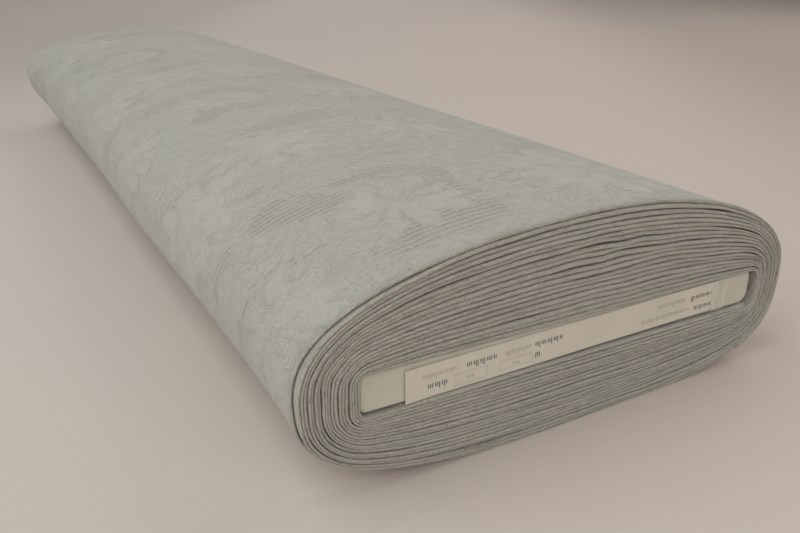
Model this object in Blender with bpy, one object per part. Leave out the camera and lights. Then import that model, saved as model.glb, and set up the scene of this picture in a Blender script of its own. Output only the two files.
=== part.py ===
"""Fabric bolt: doubled cloth wound flat round a paperboard core, lying on its broad side.

The cloth's width runs along Y and the labelled end is at -Y. X is the broad side's width and Z
is up. The origin is on the floor, in the middle of the bolt.
"""

import math

import bmesh
import bpy
from mathutils import Vector

# Cloth (metres). It is folded double along its length, so one turn is a pair of plies.
FOLDED_WIDTH = 0.750
PAIR_THICKNESS = 0.0004
TURNS = 20
PITCH_TOP = 0.002236  # the turns lie loosest above the core
PITCH_BOTTOM = 0.001600
PITCH_LEFT = 0.001265
PITCH_RIGHT = 0.000815  # and tightest round the edge that the free end hangs over
WAIST_RISE = 0.0055  # the roll is widest this far above the core's middle
ROUNDNESS_TOP_RIGHT = 2.05  # 2 is an ellipse, and more is squarer
ROUNDNESS_TOP_LEFT = 2.3
ROUNDNESS_BOTTOM_LEFT = 2.75
ROUNDNESS_BOTTOM_RIGHT = 3.4
SHOULDER_SHARE = 0.82  # of the half width, where the broad faces give way to the sides
REST_FLAT_DEPTH = 0.0006  # how far the floor flattens the lowest turn

# Core: a flat paperboard box, a little shorter than the cloth is wide.
BOARD_WIDTH = 0.200
BOARD_THICKNESS = 0.015
BOARD_CORNER_RADIUS = 0.003
BOARD_RECESS = 0.003  # how far each of its ends lies inside the roll
BOARD_TILT = math.radians(0.9)  # the right edge lies lower
WALL_THICKNESS = 0.0015
FLAP_THICKNESS = 0.0015
TUCK_LENGTH = 0.025
RIB_SHEET_THICKNESS = 0.0012
RIB_WAVES = 4

# Room between the core and the innermost turn.
SLACK_TOP = 0.0008
SLACK_BOTTOM = 0.0013
SLACK_LEFT = 0.0008
SLACK_RIGHT = 0.0012

# Label and the two strips of clear tape that hold its ends.
LABEL_END_MARGIN = 0.020  # of the core's end left bare, at each end on average
LABEL_MARGIN = 0.0007  # and above and below
LABEL_SHIFT = -0.0014  # from the middle of the core's end
LABEL_DROP = 0.0004  # and below it
LABEL_TILT = math.radians(0.75)  # against the core, so that the label lies nearly level
PAPER_THICKNESS = 0.0002
TAPE_WIDTH = 0.0078
TAPE_ON_LABEL = 0.0035
TAPE_THICKNESS = 0.0001
TAPE_LAP = 0.004  # how far it runs on over the core's top face
TAPE_BOTTOM_MARGIN = 0.0006

# Clearances between neighbouring pieces.
GAP = 0.0003
STUCK_GAP = 0.0002  # under what is glued on

# Steps of the outlines round one turn.
BOTTOM_STEPS = 7
TOP_STEPS = 9
CORNER_STEPS = 3
SIDE_STEPS = 2 * CORNER_STEPS + 1
STATIONS = BOTTOM_STEPS + TOP_STEPS + 2 * SIDE_STEPS

# The free end: stations of the last turn where it can bend, and its last station.
TAIL_BREAKS = (STATIONS - SIDE_STEPS - 1, STATIONS - 5, STATIONS - 2, STATIONS)
TAIL_NAMES = ("cloth_tail_upper", "cloth_tail_middle", "cloth_tail_end")

CLOTH = ((0.36, 0.40, 0.37), 0.9)
BOARD = ((0.74, 0.72, 0.66), 0.8)
KRAFT = ((0.52, 0.40, 0.27), 0.85)
PAPER = ((0.85, 0.85, 0.82), 0.7)
TAPE = ((0.80, 0.80, 0.77), 0.25)


def clear_scene():
    for obj in list(bpy.data.objects):
        bpy.data.objects.remove(obj, do_unlink=True)


def material(name, look):
    colour, roughness = look
    made = bpy.data.materials.new(name)
    made.use_nodes = True
    shader = made.node_tree.nodes["Principled BSDF"]
    shader.inputs["Base Color"].default_value = (*colour, 1.0)
    shader.inputs["Roughness"].default_value = roughness
    shader.inputs["Metallic"].default_value = 0.0
    return made


def corner(centre_x, centre_z, radius, start, end):
    """Points of a quarter round, from one angle in degrees to the other."""
    angles = [start + (end - start) * i / CORNER_STEPS for i in range(CORNER_STEPS + 1)]
    return [
        Vector((centre_x + radius * math.cos(math.radians(a)), centre_z + radius * math.sin(math.radians(a))))
        for a in angles
    ]


def rounded_box(left, right, down, up, radius):
    """The four rounded corners of a box, clockwise from the lower left as seen from -Y."""
    return (
        corner(-left + radius, -down + radius, radius, 270, 180)
        + corner(-left + radius, up - radius, radius, 180, 90)
        + corner(right - radius, up - radius, radius, 90, 0)
        + corner(right - radius, -down + radius, radius, 0, -90)
    )


def turned(point, angle):
    """The point turned about the core's middle, with a positive angle lowering +X."""
    c = math.cos(angle)
    s = math.sin(angle)
    return Vector((point.x * c + point.y * s, point.y * c - point.x * s))


def inner_outline():
    """Round the core and its slack, one point a station, from the right end of the bottom."""
    half = BOARD_WIDTH / 2
    thick = BOARD_THICKNESS / 2
    radius = BOARD_CORNER_RADIUS + SLACK_TOP
    box = rounded_box(half + SLACK_LEFT, half + SLACK_RIGHT, thick + SLACK_BOTTOM, thick + SLACK_TOP, radius)
    side = SIDE_STEPS + 1
    left = box[:side]
    right = box[side:]
    bottom = [right[-1].lerp(left[0], i / BOTTOM_STEPS) for i in range(BOTTOM_STEPS)]
    top = [left[-1].lerp(right[0], i / TOP_STEPS) for i in range(TOP_STEPS)]
    stations = bottom + left[:-1] + top + right[:-1]
    return [turned(p, BOARD_TILT) for p in stations]


def outer_outline():
    """The roll's own outline, station by station: four quarters of superellipses."""
    left = BOARD_WIDTH / 2 + SLACK_LEFT + TURNS * PITCH_LEFT
    right = BOARD_WIDTH / 2 + SLACK_RIGHT + TURNS * PITCH_RIGHT
    down = BOARD_THICKNESS / 2 + SLACK_BOTTOM + TURNS * PITCH_BOTTOM + WAIST_RISE
    up = BOARD_THICKNESS / 2 + SLACK_TOP + TURNS * PITCH_TOP - WAIST_RISE

    def quarter(x_side, z_side):
        width = right if x_side > 0 else left
        height = up if z_side > 0 else down
        powers = {
            (1, 1): ROUNDNESS_TOP_RIGHT,
            (-1, 1): ROUNDNESS_TOP_LEFT,
            (-1, -1): ROUNDNESS_BOTTOM_LEFT,
            (1, -1): ROUNDNESS_BOTTOM_RIGHT,
        }
        return width, height, powers[x_side, z_side]

    def on_face(x, z_side):
        width, height, power = quarter(1 if x > 0 else -1, z_side)
        return Vector((x, z_side * height * (1 - abs(x / width) ** power) ** (1 / power)))

    def on_side(z, x_side):
        width, height, power = quarter(x_side, 1 if z > 0 else -1)
        return Vector((x_side * width * (1 - abs(z / height) ** power) ** (1 / power), z))

    def stretch(shape, start, end, steps, side):
        return [shape(start + (end - start) * i / steps, side) for i in range(steps)]

    shoulder_left = -SHOULDER_SHARE * left
    shoulder_right = SHOULDER_SHARE * right
    low_left = on_face(shoulder_left, -1).y
    high_left = on_face(shoulder_left, 1).y
    low_right = on_face(shoulder_right, -1).y
    high_right = on_face(shoulder_right, 1).y
    stations = (
        stretch(on_face, shoulder_right, shoulder_left, BOTTOM_STEPS, -1)
        + stretch(on_side, low_left, high_left, SIDE_STEPS, -1)
        + stretch(on_face, shoulder_left, shoulder_right, TOP_STEPS, 1)
        + stretch(on_side, high_right, low_right, SIDE_STEPS, 1)
    )
    return [p + Vector((0, WAIST_RISE)) for p in stations]


def thicken(line, thickness, closed=False):
    """The two edges of a band of this thickness: the one on the line's left, and the other."""
    count = len(line)
    left = []
    right = []
    for i, point in enumerate(line):
        before = line[i - 1] if closed or i > 0 else None
        after = line[(i + 1) % count] if closed or i < count - 1 else None
        ways = [(point - before).normalized()] if before else []
        ways += [(after - point).normalized()] if after else []
        normals = [Vector((-way.y, way.x)) for way in ways]
        mean = sum(normals, Vector((0, 0))).normalized()
        reach = thickness / 2 / mean.dot(normals[0])
        left.append(point + mean * reach)
        right.append(point - mean * reach)
    return left, right


def wound_cloth():
    """Both faces of the whole winding, outer then inner, one point a station, lying on Z = 0."""
    inner = inner_outline()
    outer = outer_outline()
    total = TURNS * STATIONS
    line = [inner[i % STATIONS].lerp(outer[i % STATIONS], i / total) for i in range(total + 1)]
    out_face, in_face = thicken(line, PAIR_THICKNESS)
    floor = min(p.y for p in out_face) + REST_FLAT_DEPTH
    for point in out_face:
        point.y = max(point.y, floor)
    for point in in_face:
        point.y = max(point.y, floor + PAIR_THICKNESS)
    middle = (min(p.x for p in out_face) + max(p.x for p in out_face)) / 2
    core = Vector((-middle, -floor))
    return [p + core for p in out_face], [p + core for p in in_face], core


def band(faces, first, last, trim_start, trim_end):
    """The stretch of the two faces between two stations, with its ends drawn in."""
    cut = [list(face[first : last + 1]) for face in faces]
    for face in cut:
        start_step = (face[1] - face[0]).length
        end_step = (face[-1] - face[-2]).length
        face[0] = face[0].lerp(face[1], trim_start / start_step)
        face[-1] = face[-1].lerp(face[-2], trim_end / end_step)
    return cut


def band_solid(name, look, edges, start, end, closed=False, origin=(0, 0, 0), axis="Y"):
    """A solid of the strip between two edges, drawn across an axis and extruded along it."""

    def placed(point, along):
        if axis == "Y":
            return Vector((point.x, along, point.y)) - Vector(origin)
        return Vector((along, point.x, point.y)) - Vector(origin)

    mesh = bpy.data.meshes.new(name)
    shape = bmesh.new()
    one = [shape.verts.new(placed(p, start)) for p in edges[0]]
    other = [shape.verts.new(placed(p, start)) for p in edges[1]]
    count = len(one)
    for i in range(count if closed else count - 1):
        after = (i + 1) % count
        shape.faces.new((one[i], one[after], other[after], other[i]))
    grown = bmesh.ops.extrude_face_region(shape, geom=list(shape.faces), use_keep_orig=True)
    moved = [item for item in grown["geom"] if isinstance(item, bmesh.types.BMVert)]
    way = Vector((0, end - start, 0)) if axis == "Y" else Vector((end - start, 0, 0))
    bmesh.ops.translate(shape, vec=way, verts=moved)
    bmesh.ops.recalc_face_normals(shape, faces=list(shape.faces))
    shape.to_mesh(mesh)
    shape.free()
    obj = bpy.data.objects.new(name, mesh)
    obj.location = origin
    obj.data.materials.append(material(name, look))
    bpy.context.scene.collection.objects.link(obj)
    return obj


def plate_solid(name, look, outline, start, end):
    """An outline in X and Z, extruded along Y."""
    mesh = bpy.data.meshes.new(name)
    shape = bmesh.new()
    base = shape.faces.new([shape.verts.new((p.x, start, p.y)) for p in outline])
    grown = bmesh.ops.extrude_face_region(shape, geom=[base], use_keep_orig=True)
    moved = [item for item in grown["geom"] if isinstance(item, bmesh.types.BMVert)]
    bmesh.ops.translate(shape, vec=(0, end - start, 0), verts=moved)
    bmesh.ops.recalc_face_normals(shape, faces=list(shape.faces))
    shape.to_mesh(mesh)
    shape.free()
    obj = bpy.data.objects.new(name, mesh)
    obj.data.materials.append(material(name, look))
    bpy.context.scene.collection.objects.link(obj)
    return obj


def make_cloth(faces):
    """The winding, and the free end as three lengths that bend at the stations between them."""
    half = FOLDED_WIDTH / 2
    last_turn = (TURNS - 1) * STATIONS
    breaks = [last_turn + station for station in TAIL_BREAKS]
    wound = band(faces, 0, breaks[0], 0, GAP / 2)
    band_solid("cloth_winding", CLOTH, wound, -half, half).data.shade_smooth()
    for i, name in enumerate(TAIL_NAMES):
        free = i == len(TAIL_NAMES) - 1
        piece = band(faces, breaks[i], breaks[i + 1], GAP / 2, 0 if free else GAP / 2)
        hinge = faces[0][breaks[i]]  # in the outer face, so that lifting opens the gap inside
        band_solid(name, CLOTH, piece, -half, half, origin=(hinge.x, 0, hinge.y))
    return [faces[0][station] for station in breaks[:-1]]


def board_outline(inset=0.0):
    half = BOARD_WIDTH / 2 - inset
    thick = BOARD_THICKNESS / 2 - inset
    return rounded_box(half, half, thick, thick, max(BOARD_CORNER_RADIUS - inset, PAPER_THICKNESS))


def rib_line():
    """A folded sheet's path across the core: up, along, down, along."""
    reach = BOARD_WIDTH / 2 - WALL_THICKNESS - BOARD_CORNER_RADIUS - RIB_SHEET_THICKNESS
    rise = BOARD_THICKNESS / 2 - WALL_THICKNESS - GAP - RIB_SHEET_THICKNESS / 2
    folds = 2 * RIB_WAVES
    line = [Vector((-reach, -rise))]
    for i in range(folds):
        x = -reach + 2 * reach * (i + 1) / (folds + 1)
        level = -rise if i % 2 == 0 else rise
        line += [Vector((x, level)), Vector((x, -level))]
    return line + [Vector((reach, line[-1].y))]


def make_core(core):
    """The paperboard core: its wrap, the folded ribs inside and a tucked flap at each end."""
    frame = bpy.data.objects.new("core_frame", None)
    frame.location = (core.x, 0, core.y)
    frame.rotation_euler = (0, BOARD_TILT, 0)
    bpy.context.scene.collection.objects.link(frame)

    end = FOLDED_WIDTH / 2 - BOARD_RECESS
    wrap_end = end - FLAP_THICKNESS - GAP
    edges = (board_outline(), board_outline(WALL_THICKNESS))
    pieces = [band_solid("board_wrap", BOARD, edges, -wrap_end, wrap_end, closed=True)]

    rib_end = wrap_end - TUCK_LENGTH - GAP
    ribs = thicken(rib_line(), RIB_SHEET_THICKNESS)
    pieces.append(band_solid("board_ribs", KRAFT, ribs, -rib_end, rib_end))

    for name, side in (("end_flap_front", -1), ("end_flap_back", 1)):
        pieces.append(end_flap(name, side, end))
    pieces += make_label(end)
    for piece in pieces:
        piece.parent = frame


def end_flap(name, side, end):
    """A plate over one end of the core, with a tongue tucked in along the lower wall."""
    plate = plate_solid(name, BOARD, board_outline(), side * end, side * (end - FLAP_THICKNESS))
    reach = BOARD_WIDTH / 2 - WALL_THICKNESS - BOARD_CORNER_RADIUS
    low = -BOARD_THICKNESS / 2 + WALL_THICKNESS + GAP
    tongue_outline = [
        Vector((-reach, low)),
        Vector((-reach, low + FLAP_THICKNESS)),
        Vector((reach, low + FLAP_THICKNESS)),
        Vector((reach, low)),
    ]
    inside = end - FLAP_THICKNESS - GAP - TUCK_LENGTH
    tongue = plate_solid(name + "_tongue", BOARD, tongue_outline, side * (end - FLAP_THICKNESS / 2), side * inside)
    joined = plate.modifiers.new("tongue", "BOOLEAN")
    joined.operation = "UNION"
    joined.object = tongue
    tongue.parent = plate
    tongue.hide_render = True
    tongue.display_type = "WIRE"
    return plate


def make_label(end):
    """The paper label on the front end, and a strip of tape over each of its ends."""
    back = -end - STUCK_GAP
    front = back - PAPER_THICKNESS
    half = BOARD_WIDTH / 2 - LABEL_END_MARGIN
    rise = BOARD_THICKNESS / 2 - LABEL_MARGIN
    corners = [Vector((-half, -rise)), Vector((-half, rise)), Vector((half, rise)), Vector((half, -rise))]
    outline = [turned(p, -LABEL_TILT) + Vector((LABEL_SHIFT, -LABEL_DROP)) for p in corners]
    made = [plate_solid("end_label", PAPER, outline, back, front)]

    face = front - STUCK_GAP - TAPE_THICKNESS / 2
    top = BOARD_THICKNESS / 2 + STUCK_GAP + TAPE_THICKNESS / 2
    bottom = -BOARD_THICKNESS / 2 + TAPE_BOTTOM_MARGIN
    line = [Vector((face, bottom)), Vector((face, top)), Vector((-end + TAPE_LAP, top))]
    strip = thicken(line, TAPE_THICKNESS)
    left = LABEL_SHIFT - half + TAPE_ON_LABEL - TAPE_WIDTH
    right = LABEL_SHIFT + half - TAPE_ON_LABEL
    for name, start in (("label_tape_left", left), ("label_tape_right", right)):
        made.append(band_solid(name, TAPE, strip, start, start + TAPE_WIDTH, axis="X"))
    return made


clear_scene()
out_face, in_face, core_middle = wound_cloth()
hinge_lines = make_cloth((out_face, in_face))
make_core(core_middle)
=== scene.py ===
"""Looks of the fabric bolt: cotton jacquard, folded double and wound flat on a paperboard core."""

import math

import bpy
import numpy as np
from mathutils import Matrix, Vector


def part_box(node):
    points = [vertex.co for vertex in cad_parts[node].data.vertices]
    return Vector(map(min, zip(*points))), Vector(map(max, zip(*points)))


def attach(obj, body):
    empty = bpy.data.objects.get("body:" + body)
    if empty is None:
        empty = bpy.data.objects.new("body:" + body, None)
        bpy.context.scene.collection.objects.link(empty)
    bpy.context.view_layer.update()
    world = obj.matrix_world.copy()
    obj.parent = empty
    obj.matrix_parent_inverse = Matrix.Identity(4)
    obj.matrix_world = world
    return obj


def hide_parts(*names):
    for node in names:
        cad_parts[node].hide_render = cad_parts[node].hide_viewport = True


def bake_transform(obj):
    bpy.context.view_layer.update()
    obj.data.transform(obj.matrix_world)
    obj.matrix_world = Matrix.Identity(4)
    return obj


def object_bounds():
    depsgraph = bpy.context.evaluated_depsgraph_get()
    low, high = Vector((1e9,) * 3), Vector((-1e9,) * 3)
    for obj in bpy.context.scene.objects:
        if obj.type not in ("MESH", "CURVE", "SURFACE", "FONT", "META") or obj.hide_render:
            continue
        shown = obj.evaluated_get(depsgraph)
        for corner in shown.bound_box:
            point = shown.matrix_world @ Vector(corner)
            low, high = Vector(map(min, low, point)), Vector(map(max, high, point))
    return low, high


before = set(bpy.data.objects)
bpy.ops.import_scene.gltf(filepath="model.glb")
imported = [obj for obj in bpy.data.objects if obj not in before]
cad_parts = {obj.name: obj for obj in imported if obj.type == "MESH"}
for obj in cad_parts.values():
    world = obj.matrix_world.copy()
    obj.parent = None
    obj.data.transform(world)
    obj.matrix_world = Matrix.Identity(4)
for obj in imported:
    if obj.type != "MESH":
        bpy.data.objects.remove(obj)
cad_low, cad_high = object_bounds()

# ---------------------------------------------------------------- sizes, in metres
# The winding, as the CAD part has it.
TURNS = 20
PITCH_TOP = 0.002236
PITCH_BOTTOM = 0.001600
PITCH_LEFT = 0.001265
PITCH_RIGHT = 0.000815
WAIST_RISE = 0.0055  # the roll is widest this far above the core's middle
# Powers of the outline's quarters, by side and by up or down: 2 is an ellipse, and more is squarer.
ROUNDNESS = {(1, 1): 2.05, (-1, 1): 2.3, (-1, -1): 2.75, (1, -1): 3.4}
SHOULDER_SHARE = 0.82  # of the half width, where the broad faces give way to the sides
BOARD_THICKNESS = 0.015
TURN_CORNER = 0.0038  # radius of the innermost turn at the core's corners
BOARD_TILT = math.radians(0.9)
SLACK_TOP = 0.0008
SLACK_BOTTOM = 0.0013
SLACK_LEFT = 0.0008
SLACK_RIGHT = 0.0012
PLY_GAP = 0.0004  # between the two plies of a pair
HEM_REACH = 0.018  # of the free end, pressed flat
HEM_SHARE = 0.5  # of its thickness that it loses there
# CAD stations of one turn: bottom, left side, top, right side. Each side has two corners.
CAD_STATIONS = (7, 7, 9, 7)
CORNER_STATIONS = 3
TAIL_STATIONS = (22, 25, 28)  # of the last turn, where the free end's hinges are
TAIL_START = 3  # stations before the free end's first hinge, where the outermost turn is first cut
STEP = 5  # stations here for each one there

LENGTH = cad_high.y - cad_low.y
HALF = LENGTH / 2
core_low, core_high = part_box("end_flap_front")
core = (core_low + core_high) / 2
WRAP_LOW, WRAP_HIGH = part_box("board_wrap")
BOARD_HALF = (WRAP_HIGH.x - WRAP_LOW.x) / 2


def wander(at, wavelength, seed):
    """Smooth random values from -1 to 1 along a line, the same each run."""
    cells = np.asarray(at) / wavelength
    first = np.floor(cells).astype(int)
    part = cells - first
    part = part * part * (3 - 2 * part)
    values = np.random.default_rng(seed).uniform(-1, 1, int(first.max() - first.min()) + 2)
    index = first - first.min()
    return values[index] * (1 - part) + values[index + 1] * part


def grid_faces(rows, columns):
    """Faces between the points of a grid."""
    index = np.arange(rows * columns).reshape(rows, columns)
    faces = np.stack([index[:-1, :-1], index[:-1, 1:], index[1:, 1:], index[1:, :-1]], axis=-1)
    return faces.reshape(-1, 4)


def grid_mesh(name, points, uv):
    """A smooth surface through a grid of points, with its uv in metres."""
    faces = grid_faces(*points.shape[:2])
    mesh = bpy.data.meshes.new(name)
    mesh.from_pydata(points.reshape(-1, 3).tolist(), [], faces.tolist())
    mesh.polygons.foreach_set("use_smooth", np.ones(len(faces), bool))
    layer = mesh.uv_layers.new(name="cloth")
    loops = np.empty(len(mesh.loops), np.int32)
    mesh.loops.foreach_get("vertex_index", loops)
    layer.data.foreach_set("uv", uv.reshape(-1, 2)[loops].astype(np.float32).reshape(-1))
    mesh.update()
    obj = bpy.data.objects.new(name, mesh)
    bpy.context.scene.collection.objects.link(obj)
    return obj


# ---------------------------------------------------------------- the winding's path
def arc(centre_x, centre_z, start, end, steps):
    """Points round a corner of the innermost turn, between two angles in degrees."""
    angles = np.radians(np.linspace(start, end, steps + 1))
    x = centre_x + TURN_CORNER * np.cos(angles)
    z = centre_z + TURN_CORNER * np.sin(angles)
    return np.stack([x, z], axis=1)


def inner_outline():
    """Round the core and its slack, clockwise seen from -Y, from the right end of the bottom."""
    thick = BOARD_THICKNESS / 2
    left = -BOARD_HALF - SLACK_LEFT
    right = BOARD_HALF + SLACK_RIGHT
    down = -thick - SLACK_BOTTOM
    up = thick + SLACK_TOP
    r = TURN_CORNER
    bend = CORNER_STATIONS * STEP
    corners = [
        arc(left + r, down + r, 270, 180, bend),
        arc(left + r, up - r, 180, 90, bend),
        arc(right - r, up - r, 90, 0, bend),
        arc(right - r, down + r, 0, -90, bend),
    ]
    bottom_steps, _, top_steps, _ = [n * STEP for n in CAD_STATIONS]

    def straight(a, b, steps):
        return a + (b - a) * np.linspace(0, 1, steps, endpoint=False)[:, None]

    stations = np.concatenate([
        straight(corners[3][-1], corners[0][0], bottom_steps),
        corners[0][:-1],
        straight(corners[0][-1], corners[1][0], STEP),
        corners[1][:-1],
        straight(corners[1][-1], corners[2][0], top_steps),
        corners[2][:-1],
        straight(corners[2][-1], corners[3][0], STEP),
        corners[3][:-1],
    ])
    x, z = stations.T
    c = math.cos(BOARD_TILT)
    s = math.sin(BOARD_TILT)
    return np.stack([x * c + z * s, z * c - x * s], axis=1)


def outer_outline():
    """The roll's own outline: four quarters of superellipses."""
    widths = {
        -1: BOARD_HALF + SLACK_LEFT + TURNS * PITCH_LEFT,
        1: BOARD_HALF + SLACK_RIGHT + TURNS * PITCH_RIGHT,
    }
    heights = {
        -1: BOARD_THICKNESS / 2 + SLACK_BOTTOM + TURNS * PITCH_BOTTOM + WAIST_RISE,
        1: BOARD_THICKNESS / 2 + SLACK_TOP + TURNS * PITCH_TOP - WAIST_RISE,
    }

    def bulge(across, along, reach, rise, power):
        return across * reach * (1 - np.minimum(np.abs(along / rise), 1) ** power) ** (1 / power)

    def face(x, side):
        x_side = np.where(x > 0, 1, -1)
        width = np.where(x > 0, widths[1], widths[-1])
        power = np.where(x > 0, ROUNDNESS[1, side], ROUNDNESS[-1, side])
        return np.stack([x, bulge(side, x, heights[side], width, power)], axis=1)

    def edge(z, side):
        height = np.where(z > 0, heights[1], heights[-1])
        power = np.where(z > 0, ROUNDNESS[side, 1], ROUNDNESS[side, -1])
        return np.stack([bulge(side, z, widths[side], height, power), z], axis=1)

    shoulders = {side: side * SHOULDER_SHARE * widths[side] for side in (-1, 1)}
    bottom, left, top, right = [n * STEP for n in CAD_STATIONS]

    def z_at(x_side, z_side):
        return face(np.array([shoulders[x_side]]), z_side)[0, 1]

    stations = np.concatenate([
        face(np.linspace(shoulders[1], shoulders[-1], bottom, endpoint=False), -1),
        edge(np.linspace(z_at(-1, -1), z_at(-1, 1), left, endpoint=False), -1),
        face(np.linspace(shoulders[-1], shoulders[1], top, endpoint=False), 1),
        edge(np.linspace(z_at(1, 1), z_at(1, -1), right, endpoint=False), 1),
    ])
    return stations + (0, WAIST_RISE)


inner = inner_outline()
outer = outer_outline()
PER_TURN = len(inner)
COUNT = TURNS * PER_TURN + 1

share = np.arange(COUNT) / (COUNT - 1)  # 0 at the core, 1 at the free end
around = (np.arange(COUNT) % PER_TURN) / PER_TURN
# Some neighbouring turns lie closer together than others, and this changes round the roll.
# Each wave of it: cycles from the core outwards, cycles round a turn, steepness, phase.
BUNCHES = (
    (2.3, 1, 0.05, 0.4),
    (4.7, -1, 0.07, 2.1),
    (7.9, 2, 0.09, 4.0),
    (8.8, -3, 0.07, 1.2),
    (9.4, 5, 0.04, 5.5),
)
bunch = sum(
    slope / (2 * math.pi * cycles) * np.sin(2 * math.pi * (cycles * share + turns * around) + phase)
    for cycles, turns, slope, phase in BUNCHES
)
depth = share + bunch * np.clip(8 * share * (1 - share), 0, 1)
station = np.arange(COUNT) % PER_TURN
path = inner[station] * (1 - depth[:, None]) + outer[station] * depth[:, None]


def smoothed(values, width):
    """Each column of values, blurred along it by a Gaussian of this width in stations."""
    kernel = np.exp(-0.5 * (np.arange(-3 * width, 3 * width + 1) / width) ** 2)
    kernel /= kernel.sum()
    padded = np.pad(values, ((3 * width, 3 * width), (0, 0)), mode="reflect", reflect_type="odd")
    return np.stack([np.convolve(padded[:, i], kernel, "valid") for i in range(values.shape[1])], axis=1)


path = smoothed(path, 1)


def field(across_cells, depth_cells, seed):
    """Smooth random values over the roll's section: the same round the turn's start and end."""
    values = np.random.default_rng(seed).uniform(-1, 1, (depth_cells + 2, across_cells))
    x = around * across_cells
    y = depth * depth_cells
    x_first = np.floor(x).astype(int)
    y_first = np.clip(np.floor(y).astype(int), 0, depth_cells)
    x_part = x - x_first
    y_part = np.clip(y - y_first, 0, 1)
    x_part = x_part * x_part * (3 - 2 * x_part)
    y_part = y_part * y_part * (3 - 2 * y_part)
    here = x_first % across_cells
    beside = (x_first + 1) % across_cells
    low_row = values[y_first, here] * (1 - x_part) + values[y_first, beside] * x_part
    high_row = values[y_first + 1, here] * (1 - x_part) + values[y_first + 1, beside] * x_part
    return low_row * (1 - y_part) + high_row * y_part


path[:, 1] += core.z
path[:, 0] += core.x
ways = np.gradient(path, axis=0)
ways /= np.linalg.norm(ways, axis=1)[:, None]
normals = np.stack([-ways[:, 1], ways[:, 0]], axis=1)
arc_length = np.concatenate([[0], np.cumsum(np.linalg.norm(np.diff(path, axis=0), axis=1))])
# Small kinks where a turn does not lie quite along its neighbour, as a share of the room between turns.
kink = 0.08 * wander(arc_length, 0.021, 11) + 0.06 * wander(arc_length, 0.009, 12)
# Waves that several turns share: none at the outside, and strongest at one place above the core.
LONG_WAVE = 0.00048
SHORT_WAVE = 0.00028
STRONGEST_AROUND = 0.655
STRONGEST_DEPTH = 0.50
calm = np.clip(6 * depth, 0.25, 1) * np.clip(3.2 * (1 - depth), 0.0, 1)
gusts = np.clip(0.50 + 0.9 * field(7, 3, 14), 0.1, 1)
from_strongest = ((around - STRONGEST_AROUND) / 0.045) ** 2 + ((depth - STRONGEST_DEPTH) / 0.30) ** 2
gusts += 1.7 * np.exp(-from_strongest)
waves = calm * gusts * (LONG_WAVE * field(26, 5, 15) + SHORT_WAVE * field(56, 9, 16))
# On the left the outermost turn lies looser than the rest, which are drawn in under it.
LOOSE_LEFT = 0.00050
left_middle = (CAD_STATIONS[0] + CAD_STATIONS[1] / 2) / sum(CAD_STATIONS)
loose = np.exp(-(((around - left_middle) / 0.13) ** 2))
loose *= 1 - np.exp(-(1 - depth) / 0.03)
loose *= np.exp(-(1 - depth) / 0.3)
waves -= LOOSE_LEFT * loose
# The innermost turns stand off the core's right edge, unevenly.
STAND_OFF = 0.0006
right_middle = (PER_TURN - CAD_STATIONS[3] * STEP / 2) / PER_TURN
stand_off = STAND_OFF * np.exp(-(((around - right_middle) / 0.075) ** 2)) * np.exp(-depth / 0.20)
stand_off *= 1 + 0.35 * wander(arc_length, 0.0045, 17) * np.exp(-depth / 0.06)
pitch = np.linalg.norm(path[PER_TURN:] - path[:-PER_TURN], axis=1)
path += normals * waves[:, None] + normals * stand_off[:, None]
path += normals * (kink * np.concatenate([pitch, pitch[-PER_TURN:]]))[:, None]
# A turn has the room that its nearer neighbour leaves.
pitch = np.linalg.norm(path[PER_TURN:] - path[:-PER_TURN], axis=1)
pitch = np.minimum(np.concatenate([pitch[:PER_TURN], pitch]), np.concatenate([pitch, pitch[-PER_TURN:]]))
pitch = smoothed(pitch[:, None], 2)[:, 0]
# The free end is pressed down on the turn below it, and its underside stays where it is.
hem = HEM_SHARE * np.clip(1 - (arc_length[-1] - arc_length) / HEM_REACH, 0, 1)
path -= normals * (0.45 * hem * pitch)[:, None]
pitch = pitch * (1 - hem)
# The pattern is measured from the crest of the outermost turn.
last = (TURNS - 1) * PER_TURN
crest = last + np.argmax(path[last:, 1])
across = arc_length - arc_length[crest] + path[crest, 0]

# How far each turn's fold and its two selvedges stand back from the roll's ends.
SETBACK_MOST = 0.002
OUTER_DIP = 0.0034
setback = 0.0007 + 0.00045 * wander(arc_length, 0.13, 21) + 0.00025 * wander(arc_length, 0.037, 22)
turn_setback = 0.0004 * wander(arc_length, 0.55, 23)
setback = np.clip(setback + turn_setback, 0.0, SETBACK_MOST)
# The outermost turn's fold dips back on the left.
local = np.arange(COUNT) - last
dip_middle = (CAD_STATIONS[0] + 0.42 * CAD_STATIONS[1]) * STEP
dip_reach = 0.55 * CAD_STATIONS[1] * STEP
outer_dip = OUTER_DIP * np.exp(-((local - dip_middle) / dip_reach) ** 4)
setback = setback + np.where(local > -PER_TURN / 4, outer_dip, 0)
selvedge = [
    0.0011 + 0.0006 * wander(arc_length, 0.16, seed) + 0.0004 * wander(arc_length, 0.03, seed + 1)
    for seed in (31, 41)
]

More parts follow.
